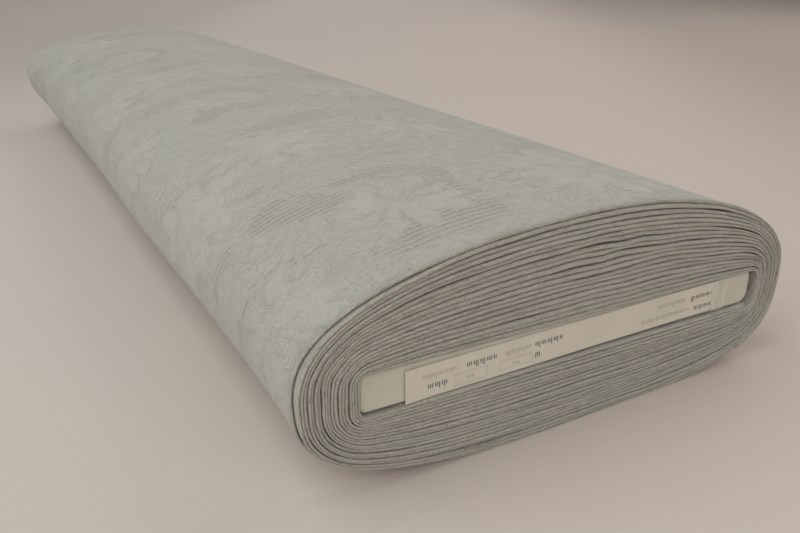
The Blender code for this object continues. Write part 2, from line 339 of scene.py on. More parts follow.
# Rows of points across the doubled cloth: round the fold, along its taper behind the fold, over the
# rest of a ply in metres on a bolt of ROWS_HALF, and round the selvedge's small curl.
NOSE_ANGLES = np.radians(np.linspace(90, -90, 11))
TAPER = np.array([0.0008, 0.0018, 0.0035, 0.0060, 0.0120])
ROWS_HALF = 0.375
SPARSE_ROWS = np.array([
    -0.345, -0.325, -0.295, -0.250, -0.180, -0.080, 0.040, 0.150,
    0.240, 0.285, 0.310, 0.330, 0.345, 0.358, 0.369,
])
CURL_ANGLES = np.radians(np.array([90, 50, 10, -30, -70, -90]))
FOLD_SHARE = 0.452  # of the room between turns, for a fold's radius
FOLD_LEAST = 0.00030
FOLD_MOST = 0.00120
TAPER_LENGTH = 0.0042  # over which the plies close up behind a fold
FLARE_SHARE = 0.25  # of the room, for how far the plies part at the far end
FLARE_START = 0.045  # before the far end
FLARE_LENGTH = 0.040
CURL_SHARE = 0.11  # of the room, for the radius of the selvedge's curl
CURL_LEAST = 0.00010
CURL_MOST = 0.00022
CURL_TUCK = 0.0012  # how far the curl runs back

# The roll is wound tighter behind its folds, most of all on the left, and spreads again at the far
# end. These are moves of the outermost turn.
TIGHT_NEAR = 0.0038
TIGHT_FAR = 0.0030
SPREAD_FAR = 0.0115


def spread(y, out):
    """How far the outermost turn lies outside the roll's outline at y, for its outward directions."""
    near = TIGHT_NEAR * (1 - np.exp(-((np.maximum(y + HALF, 0) / 0.035) ** 1.2)))
    ramp = np.clip((y + 0.12) / 0.20, 0, 1)
    far = TIGHT_FAR * ramp * ramp * (3 - 2 * ramp)
    left = np.clip(-out[:, :1], 0, 1)
    upper_left = np.clip(0.6 * out[:, 1:] - 0.8 * out[:, :1], 0, 1) ** 3
    return upper_left * SPREAD_FAR * np.exp(-(((HALF - y) / 0.032) ** 2)) - left * (near + far)


def cloth_grid(first, last_station, dense_step=None):
    """Points and uv of the doubled cloth between two stations: selvedge, ply, fold, ply, selvedge."""
    pick = slice(first, last_station + 1)
    base = path[pick]
    out = normals[pick]
    room = pitch[pick]
    rows = len(base)
    nose = np.clip(FOLD_SHARE * room, FOLD_LEAST, FOLD_MOST)
    tip = -HALF + setback[pick]

    def ply(side):
        """y and offset from the fold's shoulder to the selvedge's curl."""
        y = [tip + nose + step for step in TAPER]
        taper = [math.exp(-((step / TAPER_LENGTH) ** 1.4)) for step in TAPER]
        off = [PLY_GAP / 2 + (nose - PLY_GAP / 2) * left_open for left_open in taper]
        inner_ys = SPARSE_ROWS / ROWS_HALF * HALF
        if dense_step and side > 0:
            start = -HALF + TAPER[-1] + 0.006
            inner_ys = np.arange(start, HALF - 0.008, dense_step)
        for at in inner_ys:
            flare = np.clip((at - HALF + FLARE_START) / FLARE_LENGTH, 0, 1) ** 2
            y.append(np.full(rows, at))
            off.append(PLY_GAP / 2 + (FLARE_SHARE * room - PLY_GAP / 2) * flare)
        edge = HALF - (selvedge[0] if side > 0 else selvedge[1])[pick]
        curl = np.clip(CURL_SHARE * room, CURL_LEAST, CURL_MOST)
        flare_off = FLARE_SHARE * room
        y += [edge - curl + curl * math.cos(angle) for angle in CURL_ANGLES]
        off += [flare_off - curl + curl * math.sin(angle) for angle in CURL_ANGLES]
        y.append(edge - curl - CURL_TUCK)
        off.append(flare_off - 2 * curl)
        return np.stack(y, axis=1), side * np.stack(off, axis=1)

    outer_y, outer_off = ply(1)
    inner_y, inner_off = ply(-1)
    # A fold is not quite round: it leans one way and then the other.
    lean = 0.25 * wander(arc_length[pick], 0.045, 51)[:, None]
    nose_y = tip[:, None] + nose[:, None] * (1 - np.cos(NOSE_ANGLES))
    nose_off = nose[:, None] * (np.sin(NOSE_ANGLES) + lean * np.cos(NOSE_ANGLES) ** 2)
    y = np.concatenate([outer_y[:, ::-1], nose_y, inner_y], axis=1)
    off = np.concatenate([outer_off[:, ::-1], nose_off, inner_off], axis=1)
    # Inside the roll the innermost turns lie against the core again.
    off = off - stand_off[pick][:, None] * (1 - np.exp(-np.maximum(y + HALF - 0.0025, 0) / 0.007))
    off = off + depth[pick, None] * spread(y, out)
    points = np.stack([
        base[:, :1] + out[:, :1] * off,
        y,
        base[:, 1:] + out[:, 1:] * off,
    ], axis=-1)
    # The cloth's own width, counted round the fold from -HALF.
    bent = NOSE_ANGLES * nose[:, None] - HALF
    shift = ((math.pi / 2 - 1) * nose - tip - HALF)[:, None]
    width = np.concatenate([outer_y[:, ::-1] + shift, bent, -2 * HALF - inner_y - shift], axis=1)
    uv = np.stack([np.repeat(across[pick][:, None], y.shape[1], axis=1), width], axis=-1)
    return points, uv


CLOTH_REST = 0.00005  # the lowest the cloth comes to the floor


def settle(points):
    """The floor holds up whatever would be below it."""
    points[..., 2] = np.maximum(points[..., 2], CLOTH_REST)
    return points


# ---------------------------------------------------------------- node materials
class Graph:
    """A material's node tree, built with short calls."""

    def __init__(self, name):
        self.material = bpy.data.materials.new(name)
        self.material.use_nodes = True
        self.tree = self.material.node_tree
        self.shader = self.tree.nodes["Principled BSDF"]

    def put(self, socket, value):
        if isinstance(value, bpy.types.NodeSocket):
            self.tree.links.new(value, socket)
        else:
            socket.default_value = value

    def math(self, operation, a, b=0.0, c=0.0, clamp=False):
        node = self.tree.nodes.new("ShaderNodeMath")
        node.operation = operation
        node.use_clamp = clamp
        for socket, value in zip(node.inputs, (a, b, c)):
            self.put(socket, value)
        return node.outputs[0]

    def vector(self, operation, a, b=(0, 0, 0), scale=None):
        node = self.tree.nodes.new("ShaderNodeVectorMath")
        node.operation = operation
        self.put(node.inputs[0], a)
        if operation not in ("LENGTH", "SCALE"):
            self.put(node.inputs[1], b)
        if scale is not None:
            self.put(node.inputs["Scale"], scale)
        return node.outputs["Value" if operation in ("LENGTH", "DOT_PRODUCT") else "Vector"]

    def combine(self, x, y, z=0.0):
        node = self.tree.nodes.new("ShaderNodeCombineXYZ")
        for socket, value in zip(node.inputs, (x, y, z)):
            self.put(socket, value)
        return node.outputs[0]

    def separate(self, vector):
        node = self.tree.nodes.new("ShaderNodeSeparateXYZ")
        self.put(node.inputs[0], vector)
        return node.outputs

    def noise(self, vector, scale, detail=2.0, roughness=0.5, colour=False):
        node = self.tree.nodes.new("ShaderNodeTexNoise")
        self.put(node.inputs["Vector"], vector)
        node.inputs["Scale"].default_value = scale
        node.inputs["Detail"].default_value = detail
        node.inputs["Roughness"].default_value = roughness
        return node.outputs["Color" if colour else "Fac"]

    def step(self, value, start, end):
        """0 below start, 1 above end, smooth between."""
        node = self.tree.nodes.new("ShaderNodeMapRange")
        node.interpolation_type = "SMOOTHSTEP"
        self.put(node.inputs["Value"], value)
        self.put(node.inputs["From Min"], start)
        self.put(node.inputs["From Max"], end)
        return node.outputs["Result"]

    def blend(self, factor, a, b):
        """Colour a at 0 and colour b at 1. The node's own colour sockets are 6, 7 and, out, 2."""
        node = self.tree.nodes.new("ShaderNodeMix")
        node.data_type = "RGBA"
        for socket, value in ((node.inputs["Factor"], factor), (node.inputs[6], a), (node.inputs[7], b)):
            self.put(socket, value)
        return node.outputs[2]

    def uv(self):
        node = self.tree.nodes.new("ShaderNodeUVMap")
        node.uv_map = "cloth"
        return node.outputs[0]

    def place(self):
        node = self.tree.nodes.new("ShaderNodeTexCoord")
        return node.outputs["Object"]

    def bump(self, height, distance, strength=1.0, under=None):
        node = self.tree.nodes.new("ShaderNodeBump")
        self.put(node.inputs["Height"], height)
        node.inputs["Distance"].default_value = distance
        node.inputs["Strength"].default_value = strength
        if under is not None:
            self.put(node.inputs["Normal"], under)
        return node.outputs[0]

    def finish(self, colour, roughness, normal=None, **constants):
        self.put(self.shader.inputs["Base Color"], colour)
        self.put(self.shader.inputs["Roughness"], roughness)
        if normal is not None:
            self.put(self.shader.inputs["Normal"], normal)
        for name, value in constants.items():
            self.shader.inputs[name.replace("_", " ")].default_value = value
        return self.material


# Jacquard motifs in one repeat of the pattern, by their place round the roll and along it.
REPEAT = (0.290, 0.250)
# Flowers: place, size, turn, petals.
FLOWERS = (
    (-0.047, -0.318, 0.026, 0.3, 5),
    (0.045, -0.322, 0.040, 1.1, 6),
    (-0.120, -0.232, 0.036, 0.7, 5),
    (-0.122, -0.352, 0.030, 1.3, 5),
    (0.100, -0.230, 0.036, 2.0, 5),
    (0.012, -0.215, 0.030, 0.1, 6),
    (-0.060, -0.200, 0.032, 1.9, 5),
)
# Patches of open net ground between them: place, half width, half length, turn.
NETS = (
    (-0.043, -0.347, 0.022, 0.012, -0.12),
    (-0.064, -0.353, 0.014, 0.009, 0.20),
    (-0.084, -0.287, 0.018, 0.014, -0.55),
    (-0.044, -0.279, 0.022, 0.007, -0.15),
    (-0.021, -0.300, 0.006, 0.022, 0.15),
    (-0.093, -0.246, 0.016, 0.006, 0.10),
    (0.062, -0.262, 0.028, 0.010, 0.5),
    (-0.127, -0.284, 0.018, 0.005, 0.25),
    (-0.142, -0.318, 0.022, 0.004, -0.20),
    (-0.132, -0.366, 0.022, 0.003, -0.45),
    (-0.030, -0.155, 0.030, 0.010, 0.1),
)
NET_CELL = (0.0032, 0.0036)
TWILL = (0.0011, 0.0008)
FULL_TURN = 2 * math.pi
CLOTH_GROUND = (0.458, 0.435, 0.369, 1)
CLOTH_FIGURE = (0.483, 0.458, 0.389, 1)
CLOTH_SHADE = (0.430, 0.410, 0.350, 1)
CLOTH_LINE = (0.345, 0.330, 0.280, 1)
# The next colour is the net's dark dashes, and also the painted shade between threads.
CLOTH_DASH_AND_THREAD_SHADE = (0.225, 0.215, 0.180, 1)


def push(g, at, scale, detail, roughness):
    """A smooth random vector about zero at each place."""
    return g.vector("SUBTRACT", g.noise(at, scale, detail, roughness, colour=True), (0.5, 0.5, 0.5))


def from_motif(g, at, centre):
    """The place, measured from the nearest copy of a motif's centre."""
    moved = g.vector("SUBTRACT", at, (centre[0] - REPEAT[0] / 2, centre[1] - REPEAT[1] / 2, 0))
    x, y, _ = g.separate(moved)
    x = g.math("SUBTRACT", g.math("WRAP", x, REPEAT[0], 0.0), REPEAT[0] / 2)
    y = g.math("SUBTRACT", g.math("WRAP", y, REPEAT[1], 0.0), REPEAT[1] / 2)
    return x, y


def nearest_flower(g, at):
    """How far the place is from a flower's centre: 1 on the outline of its petals."""
    nearest = None
    for cx, cy, size, turn, petals in FLOWERS:
        x, y = from_motif(g, at, (cx, cy))
        radius = g.vector("LENGTH", g.combine(x, y))
        angle = g.math("ARCTAN2", y, x)
        lobes = g.math("COSINE", g.math("MULTIPLY_ADD", angle, float(petals), turn * petals))
        lobes = g.math("MULTIPLY_ADD", g.math("ABSOLUTE", lobes), 0.34 * size, 0.76 * size)
        here = g.math("DIVIDE", radius, lobes)
        nearest = here if nearest is None else g.math("MINIMUM", nearest, here)
    return nearest


def nearest_net(g, at):
    """How far the place is from the middle of a patch of net: 1 on its edge."""
    nearest = None
    for cx, cy, half_u, half_v, turn in NETS:
        x, y = from_motif(g, at, (cx, cy))
        c = math.cos(turn)
        s = math.sin(turn)
        along = g.math("MULTIPLY_ADD", x, c / half_u, g.math("MULTIPLY", y, s / half_u))
        over = g.math("MULTIPLY_ADD", x, -s / half_v, g.math("MULTIPLY", y, c / half_v))
        here = g.vector("LENGTH", g.combine(along, over))
        nearest = here if nearest is None else g.math("MINIMUM", nearest, here)
    return nearest


def step_round(g, value, centre, start, end):
    """A smooth step by how far the value is from a centre."""
    return g.step(g.math("ABSOLUTE", g.math("SUBTRACT", value, centre)), start, end)


def net_dashes(g, uv, fine_warp, net_mask):
    """The net: rows of short dark dashes in a light grid, paler in places."""
    wobble = g.vector("SCALE", fine_warp, scale=0.0020)
    du, dv, _ = g.separate(g.vector("ADD", uv, wobble))
    dash_u = step_round(g, g.math("FRACT", g.math("DIVIDE", du, NET_CELL[0])), 0.5, 0.42, 0.32)
    dash_v = step_round(g, g.math("FRACT", g.math("DIVIDE", dv, NET_CELL[1])), 0.5, 0.32, 0.16)
    dash = g.math("MULTIPLY", g.math("MULTIPLY", dash_u, dash_v), net_mask)
    patchy = g.step(g.noise(uv, 60.0, 2.0, 0.5), 0.25, 0.6)
    return g.math("MULTIPLY", dash, g.math("MULTIPLY_ADD", patchy, 0.5, 0.5))


def cloth_threads(g, uv):
    """Threads, about three to the millimetre, slubby and crossed by a faint twill."""
    u, v, _ = g.separate(uv)
    slub = g.noise(g.vector("MULTIPLY", uv, (1.0, 0.16, 1.0)), 1150.0, 2.0, 0.6)
    slub_across = g.noise(g.vector("MULTIPLY", uv, (0.16, 1.0, 1.0)), 1150.0, 2.0, 0.6)
    slant_u = g.math("MULTIPLY", u, FULL_TURN / TWILL[0])
    slant_v = g.math("MULTIPLY", v, FULL_TURN / TWILL[1])
    twill = g.math("SINE", g.math("ADD", slant_u, slant_v))
    crepe = g.noise(uv, 1300.0, 2.0, 0.65)
    threads = g.math("ADD", g.math("MULTIPLY", slub, 0.3), g.math("MULTIPLY", slub_across, 0.4))
    threads = g.math("MULTIPLY_ADD", twill, 0.11, threads)
    return g.math("MULTIPLY_ADD", crepe, 1.1, threads)


def cloth_material(name):
    g = Graph(name)
    uv = g.uv()
    # The weaver's figure is never quite even, so the outlines are pushed about first.
    bent = g.vector("ADD", uv, g.vector("SCALE", push(g, uv, 26.0, 3.0, 0.6), scale=0.030))
    fine_warp = push(g, uv, 120.0, 2.0, 0.5)
    bent = g.vector("ADD", bent, g.vector("SCALE", fine_warp, scale=0.006))

    flower = nearest_flower(g, bent)
    net_mask = g.math("SUBTRACT", 1.0, g.step(nearest_net(g, bent), 0.93, 1.05))
    net_mask = g.math("MULTIPLY", net_mask, g.step(flower, 0.98, 1.06))

    # Contour lines that follow each petal's outline, and flowing ones over the ground of leaves.
    rings = g.math("SINE", g.math("MULTIPLY", flower, FULL_TURN * 10))
    flow = g.noise(g.vector("MULTIPLY", bent, (0.42, 1.0, 1.0)), 15.0, 1.0, 0.5)
    flow_lines = g.math("SINE", g.math("MULTIPLY", flow, FULL_TURN * 46))
    in_flower = g.step(flower, 1.03, 0.99)
    on_leaves = g.math("SUBTRACT", 1.0, in_flower)
    rings = g.math("MULTIPLY", rings, in_flower)
    contour = g.math("ADD", rings, g.math("MULTIPLY", flow_lines, on_leaves))
    contour = g.step(contour, -0.1, 0.95)
    rim = g.math("SUBTRACT", 1.0, step_round(g, flower, 1.0, 0.02, 0.08))
    # The net also shows in slim gaps along the outlines of some leaves and round some flowers.
    leaf = g.math("PINGPONG", g.math("MULTIPLY", flow, 7.0), 0.5)
    leaf_edge = g.math("MULTIPLY", g.step(leaf, 0.060, 0.030), on_leaves)
    leaf_edge = g.math("MAXIMUM", leaf_edge, step_round(g, flower, 1.09, 0.085, 0.055))
    gaps = g.math("MULTIPLY", leaf_edge, g.step(g.noise(uv, 21.0, 1.0, 0.5), 0.52, 0.58))
    net_mask = g.math("MAXIMUM", net_mask, gaps)
    # The lines break off here and there, and short hatching fills the leaves.
    broken = g.step(g.noise(uv, 60.0, 3.0, 0.6), 0.34, 0.60)
    hatch = g.noise(g.vector("MULTIPLY", bent, (0.30, 1.0, 1.0)), 620.0, 2.0, 0.55)
    hatch = g.math("MULTIPLY", g.step(hatch, 0.50, 0.66), g.math("MULTIPLY_ADD", on_leaves, 0.6, 0.4))
    lines = g.math("MULTIPLY", contour, g.math("MULTIPLY_ADD", broken, 0.75, 0.05))
    lines = g.math("MAXIMUM", lines, g.math("MULTIPLY", hatch, 0.85))
    lines = g.math("MAXIMUM", lines, g.math("MULTIPLY", rim, 0.7))
    lines = g.math("MULTIPLY", lines, g.math("SUBTRACT", 1.0, net_mask))
    dash = net_dashes(g, uv, fine_warp, net_mask)
    threads = cloth_threads(g, uv)
    _, v, _ = g.separate(uv)
    at_fold = g.step(g.math("ABSOLUTE", g.math("ADD", v, HALF)), 0.0060, 0.0015)

    cloudy = g.step(g.noise(uv, 14.0, 3.0, 0.55), 0.3, 0.7)
    colour = g.blend(in_flower, CLOTH_GROUND, CLOTH_FIGURE)
    colour = g.blend(g.math("MULTIPLY", cloudy, 0.35), colour, CLOTH_SHADE)
    colour = g.blend(g.math("MULTIPLY", lines, 0.52), colour, CLOTH_LINE)
    colour = g.blend(g.math("MULTIPLY", net_mask, 0.20), colour, CLOTH_LINE)
    colour = g.blend(g.math("MULTIPLY", dash, 0.42), colour, CLOTH_DASH_AND_THREAD_SHADE)
    # Painted shade speckles the single threads, most of all where the cloth is bent round its fold.
    painted_thread_shade = g.math("MULTIPLY", g.step(threads, 1.02, 0.62), g.math("MULTIPLY_ADD", at_fold, 0.34, 0.26))
    colour = g.blend(painted_thread_shade, colour, CLOTH_DASH_AND_THREAD_SHADE)

    raised = g.math("MULTIPLY", g.step(flower, 1.04, 0.98), 0.35)
    relief = g.math("MULTIPLY_ADD", lines, -0.55, raised)
    relief = g.math("MULTIPLY_ADD", dash, -0.75, relief)
    relief = g.math("MULTIPLY_ADD", g.noise(uv, 260.0, 3.0, 0.6), 0.6, relief)
    fine_relief = g.math("MULTIPLY", threads, g.math("MULTIPLY_ADD", at_fold, 1.4, 1.0))
    normal = g.bump(fine_relief, 0.00016, under=g.bump(relief, 0.00055))
    return g.finish(colour, 0.92, normal, Sheen_Weight=0.25, Sheen_Roughness=0.45, Specular_IOR_Level=0.18)


cloth_look = cloth_material("cotton_jacquard")

# ---------------------------------------------------------------- cloth pieces
# The outermost turn is cut before the free end's first hinge, and half way between the hinges.
TAIL_CUTS = [last + (TAIL_STATIONS[0] - TAIL_START) * STEP]
TAIL_CUTS += [last + (a + b) * STEP // 2 for a, b in zip(TAIL_STATIONS, TAIL_STATIONS[1:])]
BEND_REACH = 0.012  # of the cloth on each side of a hinge
OUTER_ROW_STEP = 0.0042
SWELL = 0.00035

points, uv = cloth_grid(0, last)
turns_inside = grid_mesh("cloth_inner_turns", settle(points), uv)

points, uv = cloth_grid(last, COUNT - 1, dense_step=OUTER_ROW_STEP)
# The outermost turn is not drawn quite tight: long soft swells run over it.
u_all = uv[..., 0]
v_all = uv[..., 1]
swell = 0.5 + 0.25 * np.sin(v_all * 31 + 2.2 * np.sin(u_all * 17))
swell += 0.25 * np.sin(v_all * 13 - u_all * 23 + 1.0)
swell *= SWELL * np.clip((v_all + HALF) / 0.03, 0, 1)
grow = np.stack([normals[last:, 0], np.zeros(COUNT - last), normals[last:, 1]], axis=1)
points += grow[:, None, :] * swell[..., None]
settle(points)
# Its normals come from the whole turn, so that no seam shows where it is cut.
whole = grid_mesh("cloth_whole_turn", points, uv)
whole_normals = np.array([normal.vector[:] for normal in whole.data.vertex_normals]).reshape(points.shape)
bpy.data.objects.remove(whole, do_unlink=True)

cuts = [last] + TAIL_CUTS + [COUNT - 1]
outer_pieces = []
for name, start, end in zip(
    ("cloth_outer_turn", "cloth_tail_shoulder", "cloth_tail_side", "cloth_tail_edge"), cuts, cuts[1:]
):
    pick = slice(start - last, end - last + 1)
    piece = grid_mesh(name, points[pick], uv[pick])
    piece.data.normals_split_custom_set_from_vertices(whole_normals[pick].reshape(-1, 3).tolist())
    outer_pieces.append(piece)

lengths = np.diff([arc_length[i] for i in [0] + cuts])
for piece, length in zip([turns_inside] + outer_pieces, lengths):
    piece.data.materials.append(cloth_look)

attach(turns_inside, "winding")
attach(outer_pieces[0], "winding")
chain = ("winding", "tail_upper", "tail_middle", "tail_end")
for piece, station_at, pair in zip(outer_pieces[1:], TAIL_STATIONS, zip(chain, chain[1:])):
    hinge = path[last + station_at * STEP]
    way = ways[last + station_at * STEP]
    start = Vector((hinge[0] - way[0] * BEND_REACH, 0, hinge[1] - way[1] * BEND_REACH))
    end = Vector((hinge[0] + way[0] * BEND_REACH, 0, hinge[1] + way[1] * BEND_REACH))
    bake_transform(piece)
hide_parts("cloth_winding")
for piece, node in zip(outer_pieces[1:], ("cloth_tail_upper", "cloth_tail_middle", "cloth_tail_end")):
    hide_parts(node)


# ---------------------------------------------------------------- core materials
# Base, mottling and fibres of each board.
WHITE_BOARD = ((0.565, 0.530, 0.450, 1), (0.525, 0.490, 0.410, 1), (0.38, 0.34, 0.27, 1))
KRAFT_BOARD = ((0.36, 0.25, 0.15, 1), (0.30, 0.20, 0.12, 1), (0.20, 0.13, 0.08, 1))
PAPER_TONES = ((0.64, 0.59, 0.495, 1), (0.61, 0.56, 0.47, 1))
TAPE_TONES = ((0.84, 0.80, 0.70, 1), (0.78, 0.74, 0.64, 1))


def board_material(name, base, shade, fleck):
    g = Graph(name)
    at = g.place()
    fibres = g.noise(g.vector("MULTIPLY", at, (1.0, 0.35, 1.0)), 900.0, 4.0, 0.65)
    mottle = g.noise(at, 90.0, 4.0, 0.6)
    stain = g.noise(at, 25.0, 3.0, 0.5)
    colour = g.blend(g.step(mottle, 0.35, 0.75), base, shade)
    colour = g.blend(g.math("MULTIPLY", g.step(stain, 0.5, 0.8), 0.4), colour, shade)
    colour = g.blend(g.math("MULTIPLY", g.step(fibres, 0.60, 0.78), 0.35), colour, fleck)
    height = g.math("MULTIPLY_ADD", fibres, 0.6, g.math("MULTIPLY", mottle, 0.8))
    return g.finish(colour, 0.85, g.bump(height, 0.00012, 0.7), Specular_IOR_Level=0.25)


def paper_material():
    g = Graph("label_paper")
    at = g.place()
    grain = g.noise(at, 1100.0, 3.0, 0.6)
    cloud = g.noise(at, 120.0, 2.0, 0.5)
    colour = g.blend(g.step(cloud, 0.3, 0.7), *PAPER_TONES)
    return g.finish(colour, 0.6, g.bump(grain, 0.00003, 0.6), Specular_IOR_Level=0.35)


def tape_material(name, alpha):
    g = Graph(name)
    at = g.place()
    streak = g.noise(g.vector("MULTIPLY", at, (1.0, 1.0, 0.1)), 500.0, 2.0, 0.5)
    colour = g.blend(streak, *TAPE_TONES)
    return g.finish(colour, 0.30, g.bump(streak, 0.00003, 0.3), Alpha=alpha, Specular_IOR_Level=0.35)


def ink_material(name, tone):
    g = Graph(name)
    wear = g.noise(g.place(), 1600.0, 3.0, 0.6)
    worn = (tone * 2.2, tone * 2.2, tone * 2.1, 1)
    colour = g.blend(g.step(wear, 0.45, 0.75), (tone, tone, tone, 1), worn)
    return g.finish(colour, 0.7)


board_look = board_material("white_board", *WHITE_BOARD)
kraft_look = board_material("kraft_board", *KRAFT_BOARD)
paper_look = paper_material()
label_tape_look = tape_material("clear_tape", 0.30)
faint_tape_look = tape_material("clear_tape_flat", 0.05)
bold_ink = ink_material("ink_bold", 0.10)
light_ink = ink_material("ink_light", 0.24)

# ---------------------------------------------------------------- the core
WALL = 0.0015
CARD_RADIUS = 0.003
CORNER_STEPS = 9
EDGE_STEPS = 6
FACE_STEPS = 44


def in_core(x, along, z, angle=BOARD_TILT):
    """World places of points given across, along and up from the core's middle."""
    c = math.cos(angle)
    s = math.sin(angle)
    along = np.broadcast_to(along, np.shape(x))
    return np.stack([core.x + x * c + z * s, along, core.z - x * s + z * c], axis=-1)


def section(half_x, half_z, radii):
    """A closed outline with a radius for each corner, clockwise from the lower left."""
    corners = []
    for side_x, side_z, start, radius in zip((-1, -1, 1, 1), (-1, 1, 1, -1), (270, 180, 90, 0), radii):
        angles = np.radians(np.linspace(start, start - 90, CORNER_STEPS))
        x = side_x * (half_x - radius) + radius * np.cos(angles)
        z = side_z * (half_z - radius) + radius * np.sin(angles)
        corners.append(np.stack([x, z], axis=1))
    points = []
    for i, turn in enumerate(corners):
        points.append(turn)
        steps = FACE_STEPS if i % 2 else EDGE_STEPS
        after = corners[(i + 1) % 4][0]
        points.append(turn[-1] + (after - turn[-1]) * np.linspace(0, 1, steps + 2)[1:-1, None])
    return np.concatenate(points)


def finish_piece(obj, look, nodes=()):
    """Every piece of the core has a look, rides on the board and may stand for CAD nodes."""
    obj.data.materials.append(look)
    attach(obj, "board")
    for node in nodes:
        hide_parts(node)
    return obj


def plain_mesh(name, points, faces, smooth=True):
    mesh = bpy.data.meshes.new(name)
    mesh.from_pydata(np.asarray(points).reshape(-1, 3).tolist(), [], faces)
    mesh.polygons.foreach_set("use_smooth", np.full(len(faces), smooth))
    mesh.update()
    obj = bpy.data.objects.new(name, mesh)
    bpy.context.scene.collection.objects.link(obj)
    return obj


def ring_faces(rows, columns, close_rows=False):
    """Faces between closed rows of points, and from the last row to the first if that closes too."""
    index = np.arange(rows * columns).reshape(rows, columns)
    index = np.concatenate([index, index[:, :1]], axis=1)
    if close_rows:
        index = np.concatenate([index, index[:1]])
    faces = np.stack([index[:-1, :-1], index[1:, :-1], index[1:, 1:], index[:-1, 1:]], axis=-1)
    return faces.reshape(-1, 4).tolist()


# The wrap's rows along it, its dents and its worn ends.
WRAP_ROWS = 90
END_ROW = 0.0006  # from the end, for the row that rounds it
DENT = 0.00035
DENT_MARGIN = 0.02
WORN = 0.0002


def make_wrap():
    """The core's wrap: a long flat tube with soft dents in its broad faces and slightly worn ends."""
    outline = section(BOARD_HALF, BOARD_THICKNESS / 2, [CARD_RADIUS] * 4)
    inside = section(BOARD_HALF - WALL, BOARD_THICKNESS / 2 - WALL, [CARD_RADIUS - WALL] * 4)
    ys = np.linspace(WRAP_LOW.y, WRAP_HIGH.y, WRAP_ROWS)
    ys = np.concatenate([ys[:1], ys[:1] + END_ROW, ys[1:-1], ys[-1:] - END_ROW, ys[-1:]])
    rows = []
    for y in ys:
        x, z = outline.T
        broad = np.clip((BOARD_HALF - np.abs(x)) / DENT_MARGIN, 0, 1)
        dent = 0.5 + 0.25 * np.sin(37 * y + 19 * x) + 0.25 * np.sin(61 * x - 23 * y + 1.3)
        z = z - np.sign(z) * broad * DENT * dent
        worn = WORN * math.exp(-min(y - ys[0], ys[-1] - y) / END_ROW)
        rows.append(in_core(x - np.sign(x) * worn, y, z - np.sign(z) * worn))
    for y in ys[::-6]:
        rows.append(in_core(inside[:, 0], y, inside[:, 1]))
    faces = ring_faces(len(rows), len(outline), close_rows=True)
    return finish_piece(plain_mesh("core_wrap", rows, faces), board_look, ["board_wrap"])


# A cap's rows of points: how far in from its outline, and how far behind its face.
CAP_ROWS = (
    (0.0003, 0.00145),
    (0.0, 0.0012),
    (0.0, 0.0006),
    (0.00012, 0.00025),
    (0.00045, 0.00005),
    (0.0011, 0.0),
    (0.0022, 0.0),
    (0.0036, 0.0),
    (0.0050, 0.0),
    (0.0064, 0.0),
    (0.00735, 0.0),
)
FRONT_CAP_RADII = (0.0022, 0.0026, 0.0024, 0.0050)


def make_cap(name, node, side, radii):
    """The tucked flap over an end: a plate with pressed edges, a little uneven."""
    low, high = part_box(node)
    face = low.y if side < 0 else high.y
    depth_in = -side
    rows = []
    for inset, back in CAP_ROWS:
        shrunk = [max(radius - inset, 0.0002) for radius in radii]
        x, z = section(BOARD_HALF - inset, BOARD_THICKNESS / 2 - inset, shrunk).T
        uneven = 0.00014 * (1 + np.sin(140 * x + 5 * side) * np.sin(260 * z + 60 * x))
        rows.append(in_core(x, face + depth_in * (back + uneven), z))
    faces = ring_faces(len(rows), len(rows[0]))
    count = len(rows[0])
    faces.append(list(range(count)))
    faces.append([(len(rows) - 1) * count + i for i in range(count)][::-1])
    obj = plain_mesh(name, rows, faces)
    if side > 0:
        obj.data.flip_normals()
    return finish_piece(obj, board_look, [node])


def slab(front, back):
    """Points and faces of a thin plate between two grids of points."""
    rows, columns = front.shape[:2]
    index = np.arange(rows * columns).reshape(rows, columns)
    quads = grid_faces(rows, columns)
    rim = np.concatenate([index[0, :-1], index[:-1, -1], index[-1, :0:-1], index[:0:-1, 0]])
    after = np.roll(rim, -1)
    offset = rows * columns
    walls = np.stack([rim, rim + offset, after + offset, after], axis=1)
    faces = np.concatenate([quads, quads[:, ::-1] + offset, walls])
    return np.concatenate([front.reshape(-1, 3), back.reshape(-1, 3)]), faces


# The label: a strip of paper a little lower and more level than the core.
label_low, label_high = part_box("end_label")
LABEL_LEFT = label_low.x - 0.0012
LABEL_RIGHT = label_high.x
LABEL_MIDDLE = (label_low.z + label_high.z) / 2
LABEL_RISE = 0.0068
LABEL_SLOPE = math.radians(0.15)
LABEL_BOW = 0.00012
LABEL_LIFT = 0.00035
LABEL_LIFT_LENGTH = 0.011
PAPER = 0.00016


def label_face(x, z):
    """How far forward the label's face is: it bows a little, and its left end has come up."""
    bow = LABEL_BOW * np.sin(70 * x + 0.4) * np.sin(190 * (z - LABEL_MIDDLE) + 22 * x)
    lift = LABEL_LIFT * np.exp(-(x - LABEL_LEFT) / LABEL_LIFT_LENGTH)
    return label_low.y - LABEL_BOW - bow - lift


def make_label():
    xs = np.linspace(LABEL_LEFT, LABEL_RIGHT, 121)
    ups = np.linspace(-LABEL_RISE, LABEL_RISE, 13)
    x, up = np.meshgrid(xs, ups)
    z = LABEL_MIDDLE + up - (x - (LABEL_LEFT + LABEL_RIGHT) / 2) * LABEL_SLOPE
    front = np.stack([x, label_face(x, z), z], axis=-1)
    back = front + (0, PAPER, 0)
    points, faces = slab(front, back)
    obj = plain_mesh("paper_label", points, faces.tolist(), smooth=False)
    return finish_piece(obj, paper_look, ["end_label"])


